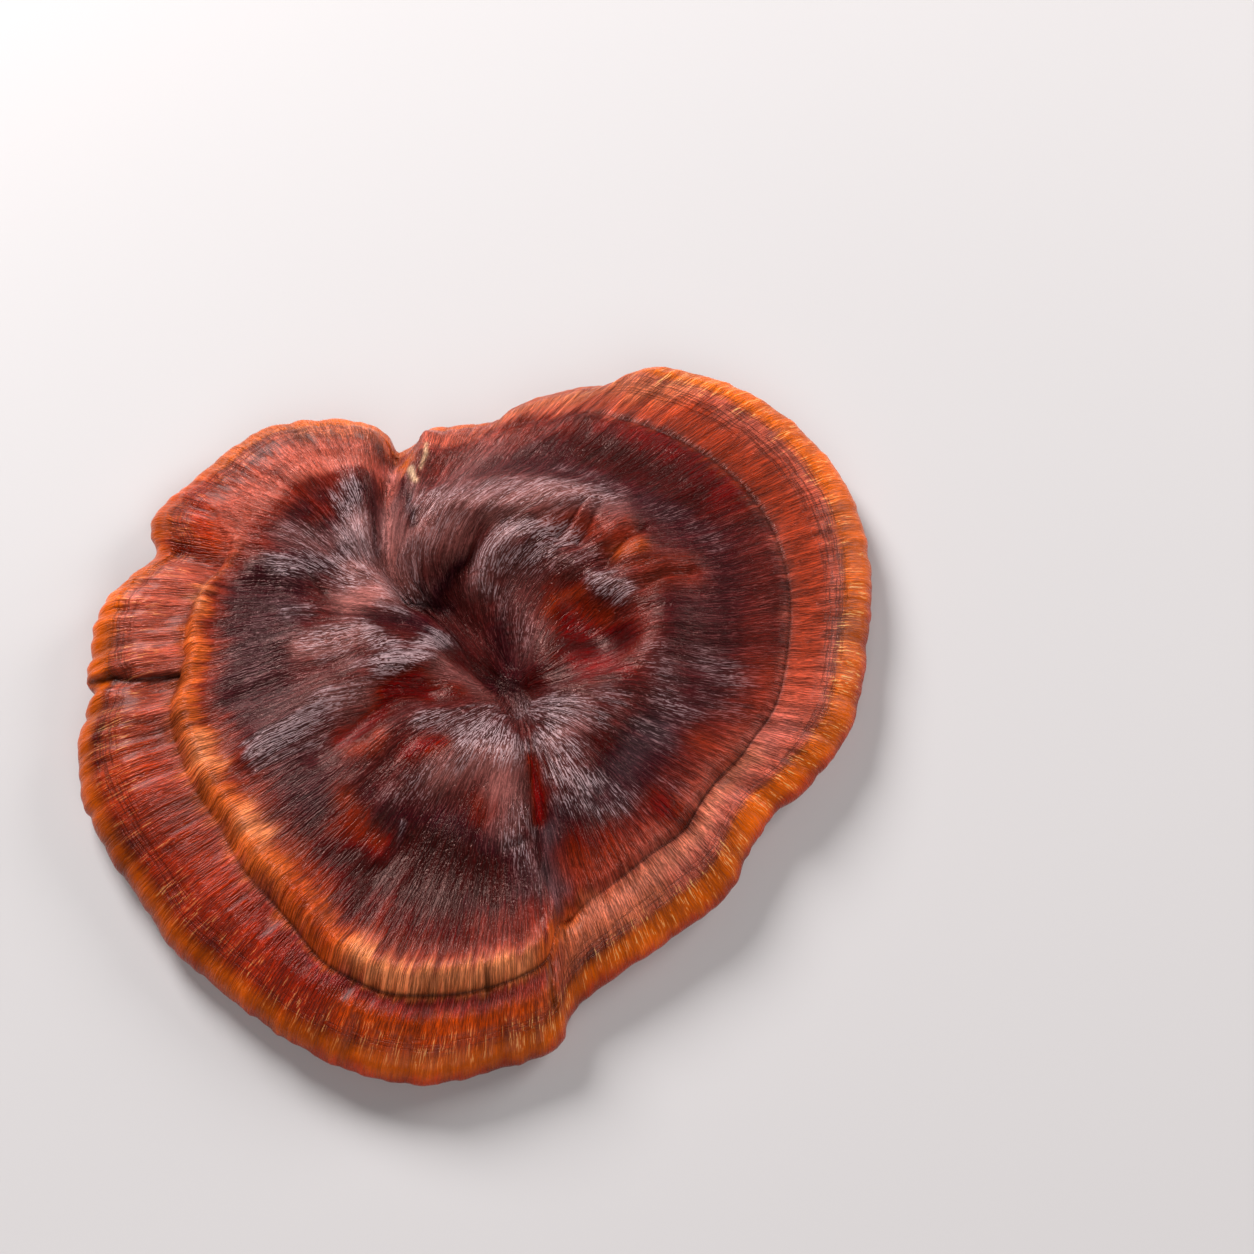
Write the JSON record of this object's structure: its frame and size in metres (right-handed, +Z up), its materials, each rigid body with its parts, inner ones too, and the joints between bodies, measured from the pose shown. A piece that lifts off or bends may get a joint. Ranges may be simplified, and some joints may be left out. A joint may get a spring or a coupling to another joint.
{
  "type": "reishi mushroom",
  "caption": "Dried reishi cap: a broad woody bracket with a deep notch, ringed lacquered top, rounded amber margin, flat pore face and cut stem base.",
  "frame": {"origin": "middle of the bounding box in plan, on the surface it lies on", "axes": "+X to the right and +Y towards the notch as the top is looked down on; +Z up, out of the lacquered top"},
  "size_m": [0.165, 0.1636, 0.0235],
  "materials": {
    "cap": "lacquered woody crust: dark maroon in the middle, red-brown rings and an amber margin, with a fine frosty sheen along radial streaks; pale matt pore face beneath"
  },
  "bodies": {
    "root": {"cap": "cap"}
  },
  "joints": []
}
